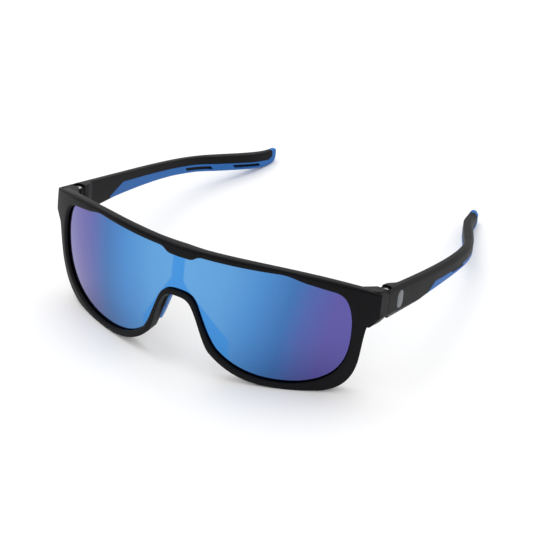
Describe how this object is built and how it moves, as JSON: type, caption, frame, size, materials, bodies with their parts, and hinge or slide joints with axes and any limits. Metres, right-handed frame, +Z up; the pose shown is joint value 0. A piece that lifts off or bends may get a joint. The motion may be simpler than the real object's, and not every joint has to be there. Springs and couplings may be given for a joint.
{
  "type": "wraparound sport sunglasses",
  "caption": "Wraparound sport sunglasses with a one-piece mirrored shield lens, matte frame, soft nose pads, folding temples and coloured rubber grips.",
  "frame": {"origin": "on the table, under the middle of the glasses' box", "axes": "+X towards the wearer's left, -Y towards what the wearer looks at, +Z up"},
  "size_m": [0.143, 0.1528, 0.0525],
  "materials": {
    "frame_plastic": "fine matte moulded nylon",
    "mirror_lens": "blue mirror coating that turns violet towards the sides",
    "grip_rubber": "soft matte rubber",
    "pad_rubber": "soft matte rubber",
    "screw_steel": "machined steel",
    "insert_brass": "turned brass",
    "inlay_metal": "satin"
  },
  "bodies": {
    "frame": {"front_frame": "frame_plastic", "shield_lens": "mirror_lens", "nose_pad_left": "pad_rubber", "hinge_screw_left": "screw_steel", "hinge_insert_left": "insert_brass", "nose_pad_right": "pad_rubber", "hinge_screw_right": "screw_steel", "hinge_insert_right": "insert_brass"},
    "temple_left": {"temple_left": "frame_plastic", "temple_grip_left": "grip_rubber", "side_inlay_left": "inlay_metal"},
    "temple_right": {"temple_right": "frame_plastic", "temple_grip_right": "grip_rubber", "side_inlay_right": "inlay_metal"}
  },
  "joints": [
    {"name": "temple_left_fold", "type": "hinge", "parent": "frame", "child": "temple_left", "pos_m": [0.0681, -0.04129, 0.03565], "axis": [0, 0.1357, 0.9907], "range_deg": [0, 84]},
    {"name": "temple_right_fold", "type": "hinge", "parent": "frame", "child": "temple_right", "pos_m": [-0.0681, -0.04129, 0.03565], "axis": [0, -0.1357, -0.9907], "range_deg": [0, 77]}
  ]
}
